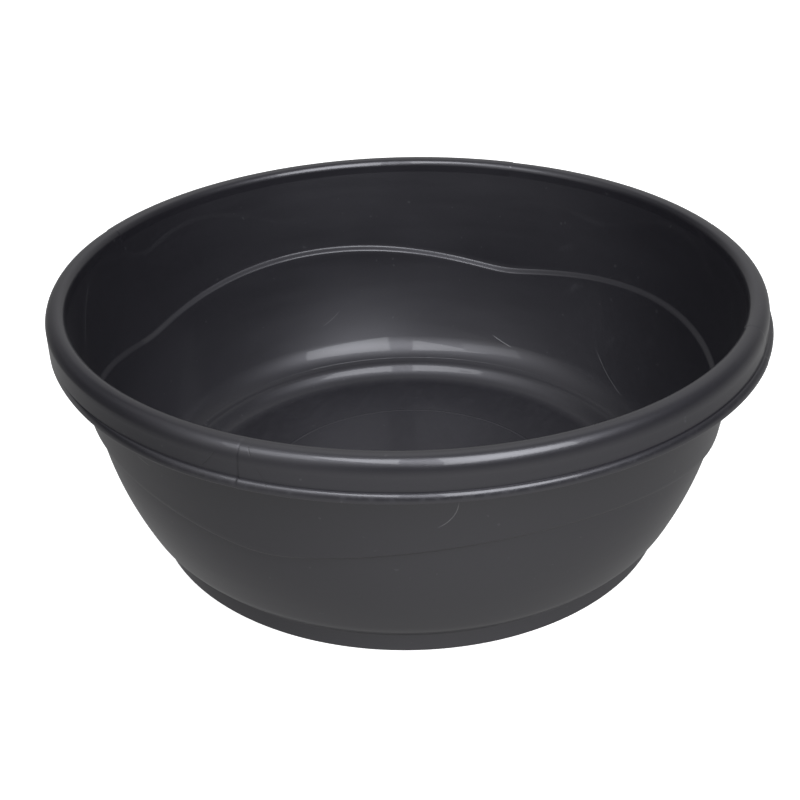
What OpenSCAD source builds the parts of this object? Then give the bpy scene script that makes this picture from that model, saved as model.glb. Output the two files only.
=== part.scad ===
// Round open mixing tub, one thin-walled plastic moulding shown as its named regions.
// Units: mm. +Z up, origin at the centre of the base on the ground, +X through a wave dip.

/* [Rim] */
// Outside radius of the rim's lower lip
lip_r = 200; // [160:1:240]
// Height of the rim's crest above the ground
rim_top = 144.2; // [115:0.1:175]
// Height of the lip's lower edge
lip_z = 125; // [100:0.5:150]
// Inside radius of the rim where it leaves the wall
rim_in_r = 184.8; // [150:0.1:225]
// Outside radius of the rim's upright face at its top
skirt_r = 196.8; // [158:0.1:238]
// Rounding of the rim's inside shoulder
in_round = 4.7; // [3:0.1:8]
// Width of the rim's outside shoulder, a quarter of an ellipse
out_w = 7.3; // [4:0.1:9]
// Height of the rim's outside shoulder
out_h = 9.2; // [4:0.1:12]
// Rounding of the lip
lip_round = 2.1; // [1:0.1:3]
// Thickness of the rolled rim
rim_t = 2.1; // [1.5:0.1:3]

/* [Wall] */
// Thickness of the wall, measured level
wall_t = 2.2; // [1.5:0.1:3.5]
// Outside radius of the lower wall at the reference height
low_r = 162.2; // [130:0.1:200]
// Reference height for the lower wall
low_z = 28; // [20:1:40]
// Outward lean of the lower wall at the reference height
low_lean = 0.425; // [0.2:0.005:0.7]
// How fast the lower wall steepens with height
low_curve = 0.00293; // [0:0.0001:0.006]
// Outside radius of the upper wall at the middle of the wave
up_r = 179.4; // [140:0.1:220]
// Height at which that radius is measured
up_z = 84; // [60:1:110]
// Outward lean of the upper wall
up_lean = 0.141; // [0.05:0.005:0.4]

/* [Wave] */
// Lowest height of the wavy step
wave_low = 72.5; // [60:0.5:100]
// Rise from the wave's dips to its crests
wave_rise = 13.8; // [0:0.1:20]
// Number of dips around the wall
wave_n = 4; // [2:1:8]
// Rounding of the dips
wave_soft = 0.15; // [0.02:0.01:0.5]
// Height taken up by the step itself
wave_w = 3; // [2:0.5:8]

/* [Base] */
// Radius of the flat floor
floor_r = 128; // [100:1:150]
// Height of the floor's upper face
floor_top = 2.4; // [2:0.1:10]
// Thickness of the floor and heel
floor_t = 2.0; // [1.5:0.1:4]
// Steepest angle of the step up from the floor
step_a = 46; // [30:1:70]
// Shallowest angle between the step and the heel
shelf_a = 20; // [5:1:30]
// Radius of the heel's inside curve
heel_r = 25; // [10:1:40]
// Height where the heel meets the lower wall
heel_z = 24; // [18:1:30]
// Outside radius of the foot ring
foot_r = 149.6; // [120:0.1:170]
// Thickness of the foot ring
foot_t = 2.3; // [1.5:0.1:5]
// Height of the foot ring below its root
foot_h = 9.5; // [4:0.5:10]
// Radius of the fine raised circle on the floor
mark_r = 91; // [40:1:120]

/* [Colour] */
// Shade of the plastic
shade = 0.24; // [0:0.01:1]

/* [Hidden] */
$fn = 180;
band_lo = 68;
band_hi = 90;
bead_z = 136;
skirt_hi = rim_top - out_h;
skirt_lo = 130;
wall_a = atan(1 / low_slope(heel_z));
heel_in = [wall_out(heel_z) - wall_t, heel_z];
heel_lo = [heel_in[0] - heel_r * (sin(wall_a) - sin(shelf_a)),
           heel_in[1] - heel_r * (cos(shelf_a) - cos(wall_a))];
run = heel_lo[0] - floor_r;
rise = heel_lo[1] - floor_top;
s2 = sin(step_a) - sin(shelf_a);
c2 = cos(shelf_a) - cos(step_a);
det = sin(step_a) * c2 - s2 * (1 - cos(step_a));
step_r1 = (run * c2 - s2 * rise) / det;
step_r2 = (sin(step_a) * rise - (1 - cos(step_a)) * run) / det;
heel_c = heel_lo + heel_r * [-sin(shelf_a), cos(shelf_a)];
step_c = heel_lo + step_r2 * [sin(shelf_a), -cos(shelf_a)];

function low_slope(z) = low_lean - 2 * low_curve * (z - low_z);
function wall_out(z) = low_r + low_lean * (z - low_z) - low_curve * pow(z - low_z, 2);
function upper_out(z) = up_r + up_lean * (z - up_z);

// arc: points at distance r from c, at angles a0 to a1 measured from straight down
function arc(c, r, a0, a1, n = 8) =
    [for (i = [0:n]) let (a = a0 + (a1 - a0) * i / n) c + r * [sin(a), -cos(a)]];

// curve: points on a quarter ellipse around c, at angles a0 to a1 measured from straight down
function curve(c, w, h, a0, a1, n = 12) =
    [for (i = [0:n]) let (a = a0 + (a1 - a0) * i / n) c + [w * sin(a), -h * cos(a)]];

// wave height above its dips, 0 to 1, at angle a
function wave(a) = (sqrt(pow(sin(wave_n * a / 2), 2) + pow(wave_soft, 2)) - wave_soft)
    / (sqrt(1 + pow(wave_soft, 2)) - wave_soft);
function wave_z(a) = wave_low + wave_rise * wave(a);
function ease(t) = t <= 0 ? 0 : t >= 1 ? 1 : t * t * (3 - 2 * t);
function band_out(a, z) = let (s = ease((z - wave_z(a)) / wave_w + 0.5))
    wall_out(z) * (1 - s) + upper_out(z) * s;

// flat round floor
module floor_panel()
    color([shade, shade, shade])
        translate([0, 0, floor_top - floor_t]) cylinder(r = floor_r, h = floor_t);

// fine raised circle on the floor
module floor_circle()
    color([shade, shade, shade])
        translate([0, 0, floor_top]) difference() {
            cylinder(r = mark_r + 0.4, h = 0.2);
            translate([0, 0, -1]) cylinder(r = mark_r - 0.4, h = 3);
        }

// curved step between the floor and the heel
module floor_step() {
    c1 = [floor_r, floor_top + step_r1];
    color([shade, shade, shade]) rotate_extrude()
        polygon(concat(
            arc(c1, step_r1, 0, step_a),
            arc(step_c, -step_r2, step_a, shelf_a),
            arc(step_c, floor_t - step_r2, shelf_a, step_a),
            arc(c1, step_r1 + floor_t, step_a, 0)));
}

// rounded heel with the root of the foot ring under it
module heel()
    color([shade, shade, shade]) union() {
        rotate_extrude() polygon(concat(
            arc(heel_c, heel_r, shelf_a, wall_a, 12),
            [[wall_out(heel_z), heel_z]],
            arc(heel_c, heel_r + floor_t, wall_a, shelf_a, 12)));
        rotate_extrude() polygon([
            [foot_r - foot_t, foot_h], [foot_r, foot_h],
            [foot_r, foot_h + 3], [foot_r - foot_t, foot_h + 1.7]]);
    }

// upright ring the tub stands on
module foot_ring()
    color([shade, shade, shade]) rotate_extrude()
        polygon(concat(
            arc([foot_r - foot_t + 0.5, 0.5], 0.5, -90, 0, 3),
            arc([foot_r - 1, 1], 1, 0, 90, 5),
            [[foot_r, foot_h], [foot_r - foot_t, foot_h]]));

// curved lower wall
module lower_wall() {
    n = 11;
    zs = [for (i = [0:n]) heel_z + (band_lo - heel_z) * i / n];
    color([shade, shade, shade]) rotate_extrude()
        polygon(concat(
            [for (z = zs) [wall_out(z), z]],
            [for (i = [n:-1:0]) [wall_out(zs[i]) - wall_t, zs[i]]]));
}

// part of the wall that carries the wavy step
module wave_band() {
    n = 192;
    m = 12;
    step = [-0.5, -0.33, -0.17, 0, 0.17, 0.33, 0.5];
    rows = function(a) concat(
        [band_lo, (band_lo + wave_z(a) - wave_w / 2) / 2 - 0.3],
        [for (s = step) wave_z(a) + s * wave_w],
        [for (k = [1:4]) wave_z(a) + wave_w / 2 + (band_hi - wave_z(a) - wave_w / 2) * k / 4]);
    pts = [for (side = [0, 1], i = [0:n - 1]) let (a = 360 * i / n)
        for (z = rows(a)) let (r = band_out(a, z) - side * wall_t) [r * cos(a), r * sin(a), z]];
    at = function(side, i, j) (side * n + i % n) * (m + 1) + j;
    skin = [for (i = [0:n - 1], j = [0:m - 1]) each [
        [at(0, i, j), at(0, i, j + 1), at(0, i + 1, j + 1)],
        [at(0, i, j), at(0, i + 1, j + 1), at(0, i + 1, j)],
        [at(1, i, j), at(1, i + 1, j), at(1, i + 1, j + 1)],
        [at(1, i, j), at(1, i + 1, j + 1), at(1, i, j + 1)]]];
    ends = [for (i = [0:n - 1]) each [
        [at(0, i, 0), at(0, i + 1, 0), at(1, i + 1, 0), at(1, i, 0)],
        [at(0, i, m), at(1, i, m), at(1, i + 1, m), at(0, i + 1, m)]]];
    color([shade, shade, shade]) polyhedron(points = pts, faces = concat(skin, ends));
}

// straight upper wall
module upper_wall()
    color([shade, shade, shade]) rotate_extrude()
        polygon([
            [upper_out(band_hi), band_hi], [upper_out(bead_z), bead_z],
            [upper_out(bead_z) - wall_t, bead_z], [upper_out(band_hi) - wall_t, band_hi]]);

// rounded top of the rim
module rim_bead() {
    ci = [rim_in_r + in_round, rim_top - in_round];
    co = [skirt_r - out_w, rim_top - out_h];
    color([shade, shade, shade]) rotate_extrude()
        polygon(concat(
            [[upper_out(bead_z) - wall_t, bead_z]],
            arc(ci, in_round, -90, -180),
            curve(co, out_w, out_h, 180, 90),
            curve(co, out_w - rim_t, out_h - rim_t, 90, 180, 8),
            arc(ci, in_round - rim_t, -180, -90, 6),
            [[upper_out(bead_z), bead_z]]));
}

// upright outer face of the rim
module rim_skirt()
    color([shade, shade, shade]) rotate_extrude()
        polygon([
            [skirt_r, skirt_hi], [skirt_r + 0.6, skirt_lo],
            [skirt_r + 0.6 - rim_t, skirt_lo], [skirt_r - rim_t, skirt_hi]]);

// small outward lip along the rim's lower edge
module rim_lip()
    color([shade, shade, shade]) rotate_extrude()
        polygon(concat(
            [[skirt_r + 0.6, skirt_lo], [skirt_r + 0.7, skirt_lo - 0.5]],
            arc([lip_r - lip_round, lip_z + 2], lip_round, 172, 90, 7),
            arc([lip_r - 0.6, lip_z + 0.6], 0.6, 90, 0, 4),
            [[skirt_r + 1.4, lip_z]],
            arc([skirt_r + 1.4, lip_z + 3], 3, -10, -70, 5),
            [[skirt_r + 0.6 - rim_t, skirt_lo]]));

floor_panel();
floor_circle();
floor_step();
heel();
foot_ring();
lower_wall();
wave_band();
upper_wall();
rim_bead();
rim_skirt();
rim_lip();
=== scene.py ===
"""Mortar mixing tub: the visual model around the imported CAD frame. Metres, +Z up, same axes as the CAD."""
import math

import bpy
import numpy as np
from mathutils import Matrix, Vector


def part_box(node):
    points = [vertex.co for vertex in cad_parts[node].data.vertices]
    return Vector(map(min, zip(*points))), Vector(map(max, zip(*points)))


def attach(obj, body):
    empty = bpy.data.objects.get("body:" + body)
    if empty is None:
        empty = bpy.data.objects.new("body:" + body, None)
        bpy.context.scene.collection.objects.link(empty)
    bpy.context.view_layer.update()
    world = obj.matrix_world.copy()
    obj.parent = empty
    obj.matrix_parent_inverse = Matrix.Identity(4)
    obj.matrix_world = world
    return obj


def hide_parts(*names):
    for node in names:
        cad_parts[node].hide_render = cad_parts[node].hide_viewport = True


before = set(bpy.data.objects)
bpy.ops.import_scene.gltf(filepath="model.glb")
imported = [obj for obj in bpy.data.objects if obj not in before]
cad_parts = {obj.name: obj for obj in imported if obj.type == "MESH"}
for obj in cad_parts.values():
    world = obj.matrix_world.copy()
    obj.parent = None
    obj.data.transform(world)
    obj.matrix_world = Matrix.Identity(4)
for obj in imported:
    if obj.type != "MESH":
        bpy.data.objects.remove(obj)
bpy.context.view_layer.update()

MM = 0.001


def box_mm(node):
    """Lowest and highest corner of a CAD node, in mm."""
    lo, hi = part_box(node)
    return [v / MM for v in lo], [v / MM for v in hi]


# ---------------------------------------------------------------- section, in mm, sizes from the CAD frame
FLOOR_LO, FLOOR_HI = box_mm("floor_panel")
FLOOR_R, FLOOR_TOP = FLOOR_HI[0], FLOOR_HI[2]
FLOOR_T = FLOOR_HI[2] - FLOOR_LO[2]
MARK_R = box_mm("floor_circle")[1][0] - 0.4
FOOT_R = box_mm("foot_ring")[1][0]
FOOT_H = box_mm("foot_ring")[1][2]
HEEL_Z = box_mm("lower_wall")[0][2]
BAND_LO, BAND_HI = box_mm("wave_band")[0][2], box_mm("wave_band")[1][2]
BEAD_Z = box_mm("upper_wall")[1][2]
RIM_TOP = box_mm("rim_bead")[1][2]
SKIRT_HI, SKIRT_LO = box_mm("rim_skirt")[1][2], box_mm("rim_skirt")[0][2]
SKIRT_R = box_mm("rim_bead")[1][0]
LIP_R, LIP_Z = box_mm("rim_lip")[1][0], box_mm("rim_lip")[0][2]

# thickness of the wall, the rim and the foot ring
WALL_T, RIM_T, FOOT_T = 2.2, 2.1, 2.3
# outside of the lower wall: radius at a height, lean there, and how fast the lean changes
LOW_R, LOW_Z, LOW_LEAN, LOW_CURVE = 162.2, 28.0, 0.425, 0.00293
# outside of the upper wall: radius at a height, and lean
UP_R, UP_Z, UP_LEAN = 179.4, 84.0, 0.141
# the wavy step: lowest height, rise, number of waves, softness of the low points, height of the step
WAVE_LOW, WAVE_RISE, WAVE_N, WAVE_SOFT, WAVE_W = 72.5, 13.8, 4, 0.15, 3.0
# steepest and shallowest angle of the floor's step, the straight piece in its middle, the heel's radius
STEP_A, SHELF_A, RAMP, HEEL_R = 46.0, 20.0, 2.0, 25.0
# rim bead: radius where it starts, radius of its inner round, width and height of its outer shoulder
IN_R, IN_ROUND, OUT_W, OUT_H = 184.8, 4.7, 7.3, RIM_TOP - SKIRT_HI
# the shoulder is a little squarer than an ellipse, whose power is 2
OUT_POWER = 2.35
MARK_H = 0.2
# the fold between the foot ring and the heel: its height on the ring, and its angle on the heel
FOLD_H, FOLD_A = 2.2, 4.6


def sind(a):
    return np.sin(np.radians(a))


def cosd(a):
    return np.cos(np.radians(a))


def ease(t):
    """0 below 0, 1 above 1, and smooth between."""
    t = np.clip(t, 0, 1)
    return t * t * (3 - 2 * t)


def curve(c, w, h, a0, a1, n):
    """n + 1 points on a quarter ellipse around c, at angles measured from straight down."""
    a = np.linspace(a0, a1, n + 1)
    return np.stack([c[0] + w * sind(a), c[1] - h * cosd(a)], 1)


def arc(c, r, a0, a1, n):
    """n + 1 points at distance r from c, at angles measured from straight down."""
    return curve(c, r, r, a0, a1, n)


def low_out(z):
    return LOW_R + LOW_LEAN * (z - LOW_Z) - LOW_CURVE * (z - LOW_Z) ** 2


def up_out(z):
    return UP_R + UP_LEAN * (z - UP_Z)


# inside of the heel: where it meets the wall, where it meets the step, and its centre
WALL_A = math.degrees(math.atan(1 / (LOW_LEAN - 2 * LOW_CURVE * (HEEL_Z - LOW_Z))))
HEEL_IN = np.array([low_out(HEEL_Z) - WALL_T, HEEL_Z])
HEEL_LO = HEEL_IN - HEEL_R * np.array([sind(WALL_A) - sind(SHELF_A), cosd(SHELF_A) - cosd(WALL_A)])
HEEL_C = HEEL_LO + HEEL_R * np.array([-sind(SHELF_A), cosd(SHELF_A)])


def step_radii():
    """Radii of the step's lower and upper arc, which leave the floor level and reach the heel at SHELF_A."""
    run = HEEL_LO[0] - FLOOR_R - RAMP * cosd(STEP_A)
    rise = HEEL_LO[1] - FLOOR_TOP - RAMP * sind(STEP_A)
    low_w, low_h = sind(STEP_A), 1 - cosd(STEP_A)
    high_w, high_h = sind(STEP_A) - sind(SHELF_A), cosd(SHELF_A) - cosd(STEP_A)
    det = low_w * high_h - high_w * low_h
    return (run * high_h - high_w * rise) / det, (low_w * rise - low_h * run) / det


STEP_R1, STEP_R2 = step_radii()
STEP_C1 = np.array([FLOOR_R, FLOOR_TOP + STEP_R1])
STEP_C2 = HEEL_LO + STEP_R2 * np.array([sind(SHELF_A), -cosd(SHELF_A)])

# ---------------------------------------------------------------- angles: even, and closer at the rim's seams
SEAMS = {"xp": 359.7, "yp": 90.6, "xn": 181.4, "yn": 270.9}
N_EVEN = 480
CLOSE_TO_SEAM = 1.9
FINE = [0.0, 0.06, 0.12, 0.2, 0.32, 0.5, 0.75, 1.1, 1.6]


def columns():
    """The angles of all the columns of points, in degrees."""
    even = [i * 360 / N_EVEN for i in range(N_EVEN)]
    angles = {round(a, 4) for a in even
              if all(abs((a - s + 180) % 360 - 180) > CLOSE_TO_SEAM for s in SEAMS.values())}
    angles |= {round((s + side * f) % 360, 4) for s in SEAMS.values() for f in FINE for side in (-1, 1)}
    return np.array(sorted(angles))


ANG = columns()
NA = len(ANG)


def wave_z(a):
    """Height of the middle of the wavy step."""
    s = np.sin(np.radians(WAVE_N * a / 2))
    top = math.sqrt(1 + WAVE_SOFT ** 2) - WAVE_SOFT
    return WAVE_LOW + WAVE_RISE * (np.sqrt(s ** 2 + WAVE_SOFT ** 2) - WAVE_SOFT) / top


WZ = wave_z(ANG)

# ---------------------------------------------------------------- floor, heel and wall
BELOW_BAND, ABOVE_BAND = BAND_LO - 2, BAND_HI + 4


def constant(points):
    """The same radius and height at every angle."""
    return [(np.full(NA, r), np.full(NA, z)) for r, z in points]


def wall_rows(offset):
    """Rows of the wall from the heel to the rim: radius and height for every angle."""
    low, high = WZ - WAVE_W / 2, WZ + WAVE_W / 2
    rows = [np.full(NA, z) for z in np.linspace(HEEL_Z, BELOW_BAND, 12)[1:]]
    rows += [rows[-1] + (low - rows[-1]) * t for t in (0.3, 0.6, 0.85)]
    rows += [WZ + WAVE_W * t for t in (-0.5, -0.42, -0.33, -0.22, -0.11, 0, 0.11, 0.22, 0.33, 0.42, 0.5)]
    rows += [high + (ABOVE_BAND - high) * t for t in (0.15, 0.4, 0.7, 1.0)]
    rows += [np.full(NA, z) for z in np.linspace(ABOVE_BAND, BEAD_Z, 6)[1:]]
    out = []
    for z in rows:
        s = ease((z - WZ) / WAVE_W + 0.5)
        out.append((low_out(z) * (1 - s) + up_out(z) * s - offset, z))
    return out


def inner_floor():
    """Top of the floor with its fine raised circle, and close rings where the shading has to turn."""
    plain = [8, 30, 60, 80, MARK_R - 1.2, MARK_R - 0.9]
    raised = [(MARK_R + d, h) for d, h in ((-0.6, 0.3), (-0.25, 0.85), (0, 1.0), (0.25, 0.85), (0.6, 0.3))]
    rest = [MARK_R + 0.9, MARK_R + 1.2, 100, 112, 120, FLOOR_R - 0.8, FLOOR_R - 0.4, FLOOR_R]
    rings = [(r, 0) for r in plain] + raised + [(r, 0) for r in rest]
    return [(r, FLOOR_TOP + MARK_H * h) for r, h in rings]


def inside_rows():
    rows = constant(inner_floor())
    rows += constant(arc(STEP_C1, STEP_R1, 0, STEP_A, 14)[1:])
    rows += constant(arc(STEP_C2, -STEP_R2, STEP_A, SHELF_A, 10)[1:])
    rows += constant(arc(HEEL_C, HEEL_R, SHELF_A, WALL_A, 20)[1:])
    return rows + wall_rows(WALL_T)


def outside_rows():
    rows = constant([(r, FLOOR_TOP - FLOOR_T) for r in (8, 40, 90, 120, FLOOR_R)])
    rows += constant(arc(STEP_C1, STEP_R1 + FLOOR_T, 0, STEP_A, 12)[1:])
    rows += constant(arc(STEP_C2, FLOOR_T - STEP_R2, STEP_A, SHELF_A, 8)[1:])
    rows += constant(arc(HEEL_C, HEEL_R + FLOOR_T, SHELF_A, WALL_A, 20)[1:])
    rows += constant([(low_out(HEEL_Z), HEEL_Z)])
    return rows + wall_rows(0.0)


# ---------------------------------------------------------------- rim
BEAD_IN_C = np.array([IN_R + IN_ROUND, RIM_TOP - IN_ROUND])
BEAD_OUT_C = np.array([SKIRT_R - OUT_W, RIM_TOP - OUT_H])
LIP_C, LIP_ROUND = (LIP_R - 2.65, LIP_Z + 0.2), 2.6
LIP_EDGE, LIP_BACK = 0.8, 3.0


def shoulder(w, h, a0, a1, n):
    """Points on the rim's outer shoulder, at angles measured from straight down."""
    a = np.linspace(a0, a1, n + 1)
    s, c = sind(a), -cosd(a)
    k = (np.abs(s) ** OUT_POWER + np.abs(c) ** OUT_POWER) ** (-1 / OUT_POWER)
    return np.stack([BEAD_OUT_C[0] + w * k * s, BEAD_OUT_C[1] + h * k * c], 1)


def rim_outside():
    """From the top of the wall over the bead, down the outer face and round the lip."""
    points = [(up_out(BEAD_Z) - WALL_T, BEAD_Z), *arc(BEAD_IN_C, IN_ROUND, -90, -180, 20)]
    points += list(shoulder(OUT_W, OUT_H, 180, 90, 34)[1:])
    points += [(SKIRT_R + 0.2, SKIRT_HI - 2.2), (SKIRT_R + 0.4, SKIRT_LO + 0.2)]
    points += [(SKIRT_R + 0.47, SKIRT_LO - 0.9), (SKIRT_R + 0.55, SKIRT_LO - 1.5)]
    points += list(curve(LIP_C, LIP_ROUND, LIP_ROUND + LIP_EDGE, 166, 90, 18))
    return points + list(arc((LIP_R - 0.85, LIP_Z - 0.25), LIP_EDGE, 90, 0, 7))


def rim_inside():
    """Back up the hollow underside of the rim to the top of the wall."""
    points = [(SKIRT_R + 1.4, LIP_Z - 1.05), *arc((SKIRT_R + 1.4, LIP_Z + 1.95), LIP_BACK, -10, -70, 8)]
    points += [(SKIRT_R + 0.6 - RIM_T, SKIRT_LO), *shoulder(OUT_W - RIM_T, OUT_H - RIM_T, 90, 180, 12)]
    points += list(arc(BEAD_IN_C, IN_ROUND - RIM_T, -180, -90, 12)[1:])
    return points + [(up_out(BEAD_Z), BEAD_Z)]


def turn_from(seam):
    """Angle of every column past a seam, -180 to 180 degrees."""
    return (ANG - SEAMS[seam] + 180) % 360 - 180


STEP_WIDTH = 0.5  # degrees over which the rim steps at a seam


def past(seam, side, depth, fade):
    """A step at a seam that dies away on one side of it."""
    d = turn_from(seam) * side
    return depth * ease(d / STEP_WIDTH + 0.5) * np.exp(-np.maximum(d, 0) / fade)


# the mould's four parts don't meet exactly: how far the rim lies in, and down, past each seam
IN_BY = past("yn", -1, 0.30, 40) + past("yp", -1, 0.40, 16)
IN_BY += past("xp", 1, 0.25, 12) + past("xn", 1, 0.30, 14)
IN_BY += 0.55 * ease(-turn_from("yn") / 18) * ease(turn_from("xn") / 25)
DOWN_BY = past("yn", 1, 0.30, 9) + past("yp", -1, 0.30, 12) + past("xp", -1, 0.18, 9) + past("xn", 1, 0.2, 10)
# how far the bead's inner edge moves out
EDGE_BY = past("xp", -1, 0.40, 7) + past("xn", 1, 0.30, 8) + past("yp", -1, 0.20, 8)
GROOVE_D, GROOVE_W = 0.07, 0.14
GROOVE = sum(GROOVE_D * np.exp(-(turn_from(seam) / GROOVE_W) ** 2) for seam in SEAMS)
# the lip runs out towards the left of the part between -Y and -X
RUN_OUT = ease(-(turn_from("yn") + 8) / 34) * ease((turn_from("xn") - 1) / 22)
# the rim moves with the seams from this radius on, fully after this width, and down over this height
MOVES_FROM, MOVES_OVER, DROP_OVER = 186.5, 7.0, 6.0
# the bead's inner edge starts this far above the wall, grows over this distance, and ends at this radius
EDGE_START, EDGE_OVER, EDGE_R = 0.5, 3.0, 190.0
# the lip's run-out ends this far inside the top of the outer face
FACE_IN = 0.35


def share(v, width):
    """0 below 0, rising evenly to 1 at a width."""
    return min(max(v / width, 0.0), 1.0)


def rim_rows():
    """Radius and height of every rim point at every angle, with the small steps at the seams."""
    outside, inside = rim_outside(), rim_inside()
    rows = []
    for i, (r, z) in enumerate(outside + inside):
        is_out = i < len(outside)
        skin_r = r if is_out else r + RIM_T
        far = share(skin_r - MOVES_FROM, MOVES_OVER) if z > BEAD_Z + 0.01 or r > EDGE_R else 0.0
        moved = r - RUN_OUT * max(0.0, skin_r - SKIRT_R + FACE_IN) - far * IN_BY
        if is_out:
            edge = share(z - BEAD_Z - EDGE_START, EDGE_OVER) * share(EDGE_R - r, EDGE_OVER)
            moved = moved + edge * EDGE_BY - far * GROOVE
        rows.append((moved, z - far * share(z - SKIRT_LO, DROP_OVER) * DOWN_BY))
    return rows


# ---------------------------------------------------------------- foot ring
def on_heel(a):
    """Point on the heel's outside, at an angle measured from straight down."""
    return HEEL_C + (HEEL_R + FLOOR_T) * np.array([sind(a), -cosd(a)])


def foot_points():
    """Down the inside of the ring, round its lower edge, up the outside and through the fold."""
    inside = FOOT_R - FOOT_T
    points = [(inside - 1.6, FOOT_H + 0.8), (inside - 0.7, FOOT_H - 0.6), (inside - 0.15, FOOT_H - 1.6)]
    points += [(inside, FOOT_H - 2.6), (inside, 0.6), *arc((inside + 0.5, 0.5), 0.5, -90, 0, 5)]
    points += list(arc((FOOT_R - 1, 1), 1, 0, 90, 8))
    fold_a = math.degrees(math.asin((FOOT_R - HEEL_C[0]) / (HEEL_R + FLOOR_T)))
    corner, high = on_heel(fold_a), on_heel(fold_a + FOLD_A)
    low = np.array([FOOT_R, corner[1] - FOLD_H])
    points += [(1 - t) ** 2 * low + 2 * t * (1 - t) * corner + t * t * high for t in np.linspace(0, 1, 9)]
    return points + [high + (-0.4, 0.1), (FOOT_R - 2.0, high[1])]


# ---------------------------------------------------------------- meshes from rings of points
def ring_points(rows):
    """Points, ring by ring, in metres."""
    r = np.array([row[0] for row in rows]) * MM
    z = np.array([row[1] for row in rows]) * MM
    return np.stack([r * cosd(ANG)[None, :], r * sind(ANG)[None, :], z], 2).reshape(-1, 3)


def quads(rings, columns_round, closed):
    """Faces between rings of points, outward if the rings run up the outside."""
    i = np.arange(rings if closed else rings - 1)
    k, j = np.meshgrid(i, np.arange(columns_round), indexing="ij")
    k2, j2 = (k + 1) % rings, (j + 1) % columns_round
    corners = [k * columns_round + j, k * columns_round + j2, k2 * columns_round + j2, k2 * columns_round + j]
    return np.stack(corners, 2).reshape(-1, 4).tolist()


def add_object(name, data):
    obj = bpy.data.objects.new(name, data)
    bpy.context.scene.collection.objects.link(obj)
    return obj


def build(name, points, faces, smooth_angle=35.0):
    """A smooth-shaded object that stays sharp where its faces turn by more than an angle."""
    mesh = bpy.data.meshes.new(name)
    mesh.from_pydata([tuple(p) for p in points], [], faces)
    mesh.validate()
    mesh.polygons.foreach_set("use_smooth", [True] * len(mesh.polygons))
    mesh.set_sharp_from_angle(angle=math.radians(smooth_angle))
    return add_object(name, mesh)


def closed_ring(name, rows):
    """Closed solid turned from a closed section."""
    return build(name, ring_points(rows), quads(len(rows), NA, True))


def closed_shell(name, up_outside, down_inside):
    """Closed solid: outside rows from the centre up, inside rows back down to the centre."""
    rows = up_outside + down_inside
    pts = ring_points(rows)
    faces = quads(len(rows), NA, False)
    n = len(pts)
    low = [0.0, 0.0, rows[0][1][0] * MM]
    top = [0.0, 0.0, rows[-1][1][0] * MM]
    last = (len(rows) - 1) * NA
    faces += [[n, (j + 1) % NA, j] for j in range(NA)]
    faces += [[n + 1, last + j, last + (j + 1) % NA] for j in range(NA)]
    return build(name, np.vstack([pts, [low, top]]), faces)


bowl = closed_shell("bowl_wall_and_floor", outside_rows(), inside_rows()[::-1])
rim_obj = closed_ring("rolled_rim", rim_rows()[::-1])
foot_obj = closed_ring("foot_ring_skirt", constant(foot_points()))

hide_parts("floor_panel", "floor_circle", "floor_step", "heel",
            "lower_wall", "wave_band", "upper_wall")
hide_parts("rim_bead", "rim_skirt", "rim_lip")
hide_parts("foot_ring")
for piece in (bowl, rim_obj, foot_obj):
    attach(piece, "root")


# ---------------------------------------------------------------- material
class Graph:
    """Small helper that adds shader nodes and joins them."""

    def __init__(self, name):
        self.mat = bpy.data.materials.new(name)
        self.mat.use_nodes = True
        self.nt = self.mat.node_tree
        self.nt.nodes.clear()

    def add(self, kind, inputs=(), **props):
        n = self.nt.nodes.new(kind)
        for k, v in props.items():
            setattr(n, k, v)
        for k, v in dict(inputs).items():
            self.put(n.inputs[k], v)
        return n

    def put(self, socket, v):
        if isinstance(v, bpy.types.NodeSocket):
            self.nt.links.new(v, socket)
        else:
            socket.default_value = v

    def math(self, op, *v, clamp=False):
        return self.add("ShaderNodeMath", enumerate(v), operation=op, use_clamp=clamp).outputs[0]

    def times(self, a, b):
        return self.math("MULTIPLY", a, b)

    def plus(self, base, v, by, clamp=False):
        """base + v * by"""
        return self.math("MULTIPLY_ADD", v, by, base, clamp=clamp)

    def vary(self, base, v, by, clamp=False):
        """base + (v - 0.5) * by, for noise that runs from 0 to 1"""
        return self.plus(base, self.math("SUBTRACT", v, 0.5), by, clamp)

    def ramp(self, v, lo, hi, out_lo=0.0, out_hi=1.0):
        sockets = {0: v, 1: lo, 2: hi, 3: out_lo, 4: out_hi}
        return self.add("ShaderNodeMapRange", sockets, interpolation_type="SMOOTHSTEP").outputs[0]

    def noise(self, vec, scale, detail=2.0, rough=0.5):
        sockets = {"Vector": vec, "Scale": scale, "Detail": detail, "Roughness": rough}
        return self.add("ShaderNodeTexNoise", sockets).outputs[0]

    def stretch(self, vec, by):
        return self.add("ShaderNodeVectorMath", {0: vec, 1: by}, operation="MULTIPLY").outputs[0]

    def blend(self, fac, one, two):
        return self.add("ShaderNodeMix", {0: fac, 6: one, 7: two}, data_type="RGBA").outputs[2]

    def finish(self, shader):
        end = self.add("ShaderNodeOutputMaterial")
        self.nt.links.new(shader.outputs[0], end.inputs[0])
        return self.mat


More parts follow.
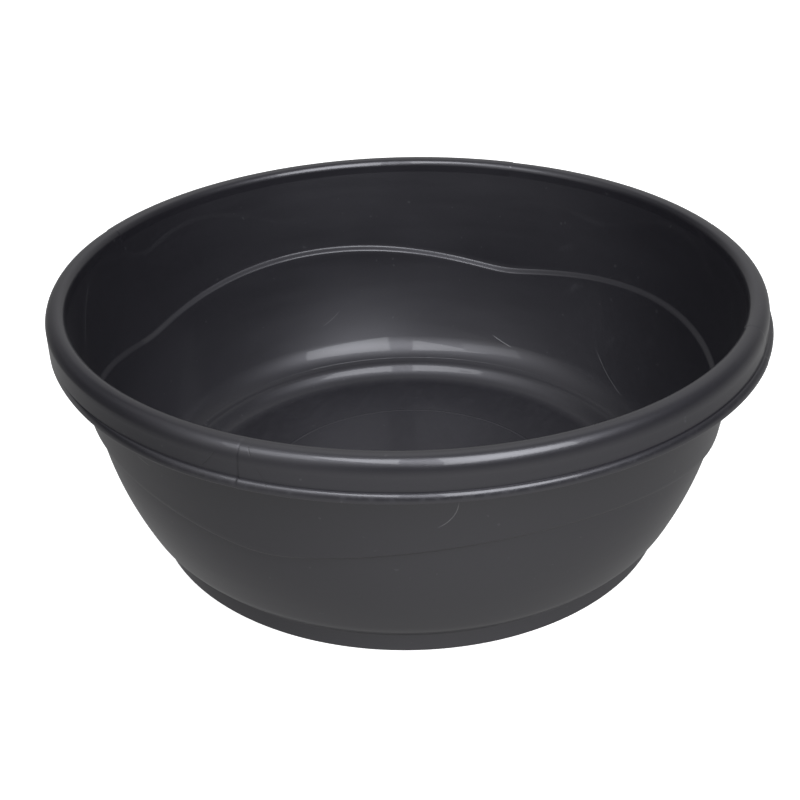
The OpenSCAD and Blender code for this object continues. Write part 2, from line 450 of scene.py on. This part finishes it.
# marks: angle, height mm, tilt, half length mm, width mm, bow mm, strength, 1 outside or -1 inside
LIGHT_MARKS = [
    (298.5, 106, 57, 9.5, 0.4, 3.0, 0.9, 1), (300, 119.5, 66, 3.5, 0.35, -0.3, 0.45, 1),
    (248.5, 105.5, -14, 6, 0.4, 0.8, 0.55, 1), (248, 108.5, 80, 1.5, 0.7, 0, 1, 1),
    (88.5, 25.5, 20, 9, 0.45, 0.5, 0.75, -1), (57, 30, 27, 21, 0.4, 3.5, 0.4, -1),
    (202, 117.5, -35, 25, 0.4, -1, 0.3, -1), (21, 118.5, 41, 10.5, 0.4, 0.5, 0.3, -1),
    (132, 40, -32, 9, 0.35, 1, 0.25, -1)]
# crease lines by the rim seam between -Y and -X: the bump presses them in, and their near-black colour is
# painted shade in the creases
CREASE_SHADE_MARKS = [(266.5, 134.5, 52, 6.5, 0.4, 0.5, 0.8, 1), (274.5, 131, -58, 6, 0.3, 0.5, 0.5, 1),
              (272.5, 141.5, -60, 2.5, 0.35, 0, 0.8, 1)]
# scuffs: angle, height mm, tilt, half length mm, half width mm, strength, 1 outside or -1 inside
SCUFFS = [(76, 95, -24, 9, 3.5, 0.3, -1), (72.5, 71, -38, 12, 3.5, 0.28, -1),
          (60, 46, -55, 9, 4, 0.16, -1), (48, 62, -70, 10, 3, 0.16, -1)]
# rough radius of the wall for marks above and below a height, and for scuffs, in m
MARK_HIGH, MARK_HIGH_R, MARK_LOW_R, SCUFF_R = 60, 0.182, 0.161, 0.178


def along_across(g, ang, z, phi, height, tilt, radius):
    """Distances along and across a tilted mark on the wall, in m."""
    centre = math.radians((phi + 180) % 360 - 180)
    u = g.times(g.math("SUBTRACT", ang, centre), radius)
    v = g.math("SUBTRACT", z, height * MM)
    c, k = math.cos(math.radians(tilt)), math.sin(math.radians(tilt))
    return g.plus(g.times(v, k), u, c), g.plus(g.times(u, -k), v, c)


def marks(g, ang, z, out, table):
    """Mask of thin curved lines on the walls."""
    total = 0.0
    for phi, height, tilt, half, width, bow, strong, side in table:
        radius = MARK_HIGH_R if height > MARK_HIGH else MARK_LOW_R
        p, q = along_across(g, ang, z, phi, height, tilt, radius)
        bend = g.times(g.times(p, p), -bow / (half * half * MM))
        q = g.math("ABSOLUTE", g.math("ADD", g.math("ADD", q, bow * MM), bend))
        line = g.ramp(q, width * MM * 0.25, width * MM, 1.0, 0.0)
        ends = g.ramp(g.math("ABSOLUTE", p), half * MM * 0.55, half * MM, strong, 0.0)
        total = g.math("ADD", total, g.times(g.times(line, ends), out[side]), clamp=True)
    return total


def scuffs(g, ang, z, out, table, grain):
    """Soft rubbed patches, broken up by noise."""
    total = 0.0
    for phi, height, tilt, half, width, strong, side in table:
        p, q = along_across(g, ang, z, phi, height, tilt, SCUFF_R)
        p, q = g.times(p, 1 / (half * MM)), g.times(q, 1 / (width * MM))
        d = g.plus(g.times(q, q), p, p)
        mask = g.times(g.ramp(d, 0.0, 1.0, strong, 0.0), out[side])
        total = g.math("ADD", total, g.times(mask, grain), clamp=True)
    return total


DEEP, PALE = (0.0078, 0.0074, 0.0102, 1), (0.0134, 0.0128, 0.0166, 1)
RUBBED, DUSTY, SCUFFED = (0.030, 0.0295, 0.034, 1), (0.10, 0.10, 0.105, 1), (0.055, 0.055, 0.062, 1)
# the near-black colour is painted shade for the crease lines by a rim seam
SCRATCHED, PAINTED_CREASE_SHADE = (0.17, 0.17, 0.175, 1), (0.003, 0.003, 0.0035, 1)


def plastic(name, rough, coat, wear):
    """Dark moulded polypropylene: faint flow streaks, fine grain, dust, rubbed edges, scratches, and painted
    shade in crease lines by a rim seam.
    """
    g = Graph(name)
    pos = g.add("ShaderNodeTexCoord").outputs["Object"]
    x, y, z = g.add("ShaderNodeSeparateXYZ", {0: pos}).outputs
    ang = g.math("ARCTAN2", y, x)
    rad = g.math("SQRT", g.plus(g.times(y, y), x, x))
    normal = g.add("ShaderNodeNewGeometry").outputs["Normal"]
    outward = g.stretch(pos, (1, 1, 0))
    facing = g.add("ShaderNodeVectorMath", {0: normal, 1: outward}, operation="DOT_PRODUCT")
    outside = g.math("GREATER_THAN", facing.outputs["Value"], 0.0)
    out = {1: outside, -1: g.math("SUBTRACT", 1.0, outside)}

    blotch = g.noise(pos, 11.0, 3.0)
    streak = g.noise(g.stretch(pos, (9.0, 9.0, 75.0)), 1.0, 4.0, 0.6)
    grain = g.noise(pos, 620.0, 3.0, 0.6)
    rub = g.noise(g.stretch(pos, (260.0, 90.0, 180.0)), 1.0, 3.0, 0.7)
    dust = g.ramp(g.noise(pos, 230.0, 1.0), 0.755, 0.80)
    light = marks(g, ang, z, out, LIGHT_MARKS)
    # mask of the crease lines, where shade is painted in near black
    dark = marks(g, ang, z, out, CREASE_SHADE_MARKS)
    worn = scuffs(g, ang, z, out, SCUFFS, g.ramp(rub, 0.38, 0.7))

    # rubbed lip edge and foot edge
    lip = g.times(g.ramp(rad, (LIP_R - 1.6) * MM, (LIP_R - 0.2) * MM), g.ramp(rub, 0.48, 0.72))
    low = g.times(g.ramp(z, 0.004, 0.0004), g.ramp(rub, 0.45, 0.7))
    edge = g.times(g.math("ADD", lip, low, clamp=True), wear)

    tone = g.vary(0.5, blotch, 0.9)
    tone = g.vary(tone, streak, 1.1)
    tone = g.vary(tone, grain, 1.0, clamp=True)
    colour = g.blend(tone, DEEP, PALE)
    colour = g.blend(g.times(edge, 0.55), colour, RUBBED)
    colour = g.blend(g.times(dust, 0.25), colour, DUSTY)
    colour = g.blend(worn, colour, SCUFFED)
    colour = g.blend(light, colour, SCRATCHED)
    # painted shade in the crease lines by a rim seam
    colour = g.blend(dark, colour, PAINTED_CREASE_SHADE)

    gloss = g.vary(rough, blotch, 0.10)
    gloss = g.vary(gloss, streak, 0.10)
    gloss = g.plus(gloss, g.math("ADD", worn, edge), 0.22)
    gloss = g.plus(gloss, g.math("ADD", light, dark), 0.25)

    # heights in m
    height = g.times(g.noise(pos, 48.0, 2.0), 2.2e-5)
    for layer, by in ((grain, 2.2e-6), (streak, 6.0e-6), (light, 4.0e-5), (dark, -8.0e-5)):
        height = g.plus(height, layer, by)
    bump = g.add("ShaderNodeBump", {"Strength": 1.0, "Distance": 1.0, "Height": height})
    return g.finish(g.add("ShaderNodeBsdfPrincipled", {
        "Base Color": colour, "Roughness": gloss, "Normal": bump.outputs[0],
        "Specular IOR Level": 0.95, "Specular Tint": (0.95, 0.94, 1.0, 1.0),
        "Coat Weight": coat, "Coat Roughness": 0.035, "Coat IOR": 1.5}))


wall_plastic = plastic("anthracite_wall", 0.43, 0.30, 0.6)
floor_plastic = plastic("anthracite_floor", 0.46, 0.10, 0.6)
rim_plastic = plastic("anthracite_rim", 0.38, 0.40, 1.0)
bowl.data.materials.append(wall_plastic)
bowl.data.materials.append(floor_plastic)
rim_obj.data.materials.append(rim_plastic)
foot_obj.data.materials.append(wall_plastic)
# the second material covers the flat floor
for face in bowl.data.polygons:
    c = face.center
    face.material_index = 1 if math.hypot(c.x, c.y) < (FLOOR_R + 0.3) * MM and c.z < 0.02 else 0


# ---------------------------------------------------------------- studio
TURN = math.radians(23.0)  # the camera's side, turned from -Y
FLOOR_SIZE, FLOOR_GREY, FLOOR_GLOW = 14, 0.8, 0.93
SHADE_R = (FOOT_R + 0.15) * MM
PANEL_COLOUR = (0.95, 0.965, 1.0, 1)
DOME_R, DOME_AROUND, DOME_UP = 9.0, 72, 36


def turned(v):
    c, s = math.cos(TURN), math.sin(TURN)
    return Vector((c * v[0] - s * v[1], s * v[0] + c * v[1], v[2]))


def matt(name, grey, rough, glow=0.0):
    """Matt grey material, which may glow white."""
    g = Graph(name)
    return g.finish(g.add("ShaderNodeBsdfPrincipled", {
        "Base Color": (grey, grey, grey, 1), "Roughness": rough, "Specular IOR Level": 0.0,
        "Emission Color": (1, 1, 1, 1), "Emission Strength": glow}))


def floor():
    """Plain pale floor that the tub's surface and the lights don't see."""
    bpy.ops.mesh.primitive_plane_add(size=FLOOR_SIZE, location=(0, 0, 0))
    obj = bpy.context.object
    obj.name = "studio_floor"
    obj.data.materials.append(matt("studio_white", FLOOR_GREY, 0.9, FLOOR_GLOW))
    obj.visible_diffuse = obj.visible_glossy = obj.visible_shadow = False


def contact_shade():
    """Black disc under the foot ring, unseen by the camera, so the tub's low edge is darker."""
    bpy.ops.mesh.primitive_circle_add(vertices=96, radius=SHADE_R, fill_type="NGON", location=(0, 0, 0.0001))
    obj = bpy.context.object
    obj.name = "contact_shade"
    obj.data.materials.append(matt("shade", 0.0, 1.0))
    obj.visible_camera = obj.visible_shadow = False


def panel(name, strength, *corners):
    """A soft light panel: a flat polygon that glows towards the tub on both of its sides."""
    mesh = bpy.data.meshes.new(name)
    mesh.from_pydata([turned(c) for c in corners], [], [list(range(len(corners)))])
    g = Graph(name)
    light = g.add("ShaderNodeEmission", {"Strength": strength, "Color": PANEL_COLOUR})
    mesh.materials.append(g.finish(light))
    obj = add_object(name, mesh)
    obj.visible_camera = obj.visible_shadow = False


# soft light around the scene. Each area has its direction, from the camera's side round to its right,
# its height, half its width and half its height, all in degrees, and its strength. Shades take light away.
LOW_GLOW, HIGH_GLOW, LEAST_GLOW = 0.34, 0.04, 0.03
SOFT_AREAS = {
    "low_front": (14, -38, 110, 55, 0.34),
    "back_low": (172, 20, 95, 45, 0.36),
    "back_high": (180, 60, 95, 34, 0.76),
    "front_left": (312, 31, 46, 44, 0.76),
    "left_high": (268, 54, 46, 36, 0.38),
    "front_window": (0, 43, 44, 26, 0.44),
    "left_shade": (260, -12, 70, 34, -0.18),
    "back_left_shade": (225, 42, 36, 20, -0.22),
}


def swell(t):
    """1 at 0, falling smoothly to 0 at -1 and 1."""
    return np.where(np.abs(t) < 1, cosd(90 * t) ** 2, 0.0)


def glow_at(az, el):
    """Strength of the soft light by direction: bright from below, dim from above, and the soft areas."""
    glow = HIGH_GLOW + (LOW_GLOW - HIGH_GLOW) * np.clip((10 - el) / 30, 0, 1)
    for turn, height, half_w, half_h, strength in SOFT_AREAS.values():
        away = (az - turn + 180) % 360 - 180
        glow = glow + strength * swell(away / half_w) * swell((el - height) / half_h)
    return np.clip(glow, LEAST_GLOW, None)


def dome():
    """A large sphere around the scene whose inside glows softly, brighter in some directions."""
    az = np.arange(DOME_AROUND)[None, :] * 360 / DOME_AROUND
    el = np.linspace(-89.5, 89.5, DOME_UP)[:, None]
    level = DOME_R * cosd(el)
    pts = np.stack([level * sind(az), -level * cosd(az), DOME_R * sind(el) + 0 * az], 2).reshape(-1, 3)
    mesh = bpy.data.meshes.new("studio_dome")
    mesh.from_pydata([turned(p) for p in pts.tolist()], [], quads(DOME_UP, DOME_AROUND, False))
    attr = mesh.color_attributes.new(name="glow", type="FLOAT_COLOR", domain="POINT")
    rgba = np.repeat(glow_at(az, el).reshape(-1, 1), 4, 1)
    rgba[:, 3] = 1
    attr.data.foreach_set("color", rgba.astype(np.float32).ravel())
    g = Graph("dome_light")
    colour = g.add("ShaderNodeAttribute", attribute_name="glow").outputs["Color"]
    mesh.materials.append(g.finish(g.add("ShaderNodeEmission", {"Strength": 1.0, "Color": colour})))
    obj = add_object("studio_dome", mesh)
    obj.visible_camera = False


def white_world():
    """White beyond the floor. Only the camera sees it, because the dome closes it off from the rest."""
    world = bpy.data.worlds.new("studio")
    bpy.context.scene.world = world
    world.use_nodes = True
    background = world.node_tree.nodes["Background"]
    background.inputs["Color"].default_value = (1, 1, 1, 1)
    background.inputs["Strength"].default_value = 1.0


CAM_PLACE = (0.00318, -0.65520, 0.43505)
CAM_PAN, CAM_TILT, CAM_ROLL = 0.682, -29.659, -1.308  # degrees to the left, up, and anticlockwise
LENS, SENSOR = 57.897, 36.0


def camera():
    """The camera at the picture's angle, turned with the studio."""
    flat_right = Vector((cosd(CAM_PAN), sind(CAM_PAN), 0))
    forward = Vector((-sind(CAM_PAN) * cosd(CAM_TILT), cosd(CAM_PAN) * cosd(CAM_TILT), sind(CAM_TILT)))
    flat_up = flat_right.cross(forward)
    right = flat_right * cosd(CAM_ROLL) + flat_up * sind(CAM_ROLL)
    up = flat_up * cosd(CAM_ROLL) - flat_right * sind(CAM_ROLL)
    axes = Matrix([turned(v) for v in (right, up, -forward)]).transposed()
    data = bpy.data.cameras.new("camera")
    data.lens, data.sensor_width = LENS, SENSOR
    data.clip_start, data.clip_end = 0.01, 100
    obj = add_object("camera", data)
    obj.matrix_world = Matrix.Translation(turned(CAM_PLACE)) @ axes.to_4x4()
    bpy.context.scene.camera = obj


floor()
contact_shade()
panel("softbox_right", 6.5, (0.13, -0.50, 1.60), (1.38, -0.68, 2.26), (1.41, -1.17, 1.17),
      (0.16, -0.99, 0.51))
panel("softbox_left", 7.0, (-0.04, -0.45, 1.60), (-0.9, -0.60, 1.9), (-0.06, -1.2, 1.0))
panel("softbox_far_left", 2.6, (-0.43, -0.48, 1.34), (-0.97, -0.36, 1.34), (-1.69, -1.20, 1.34),
      (-0.73, -1.38, 1.34))
dome()
white_world()
camera()
bpy.context.scene.view_settings.view_transform = "Standard"
bpy.context.scene.view_settings.look = "None"
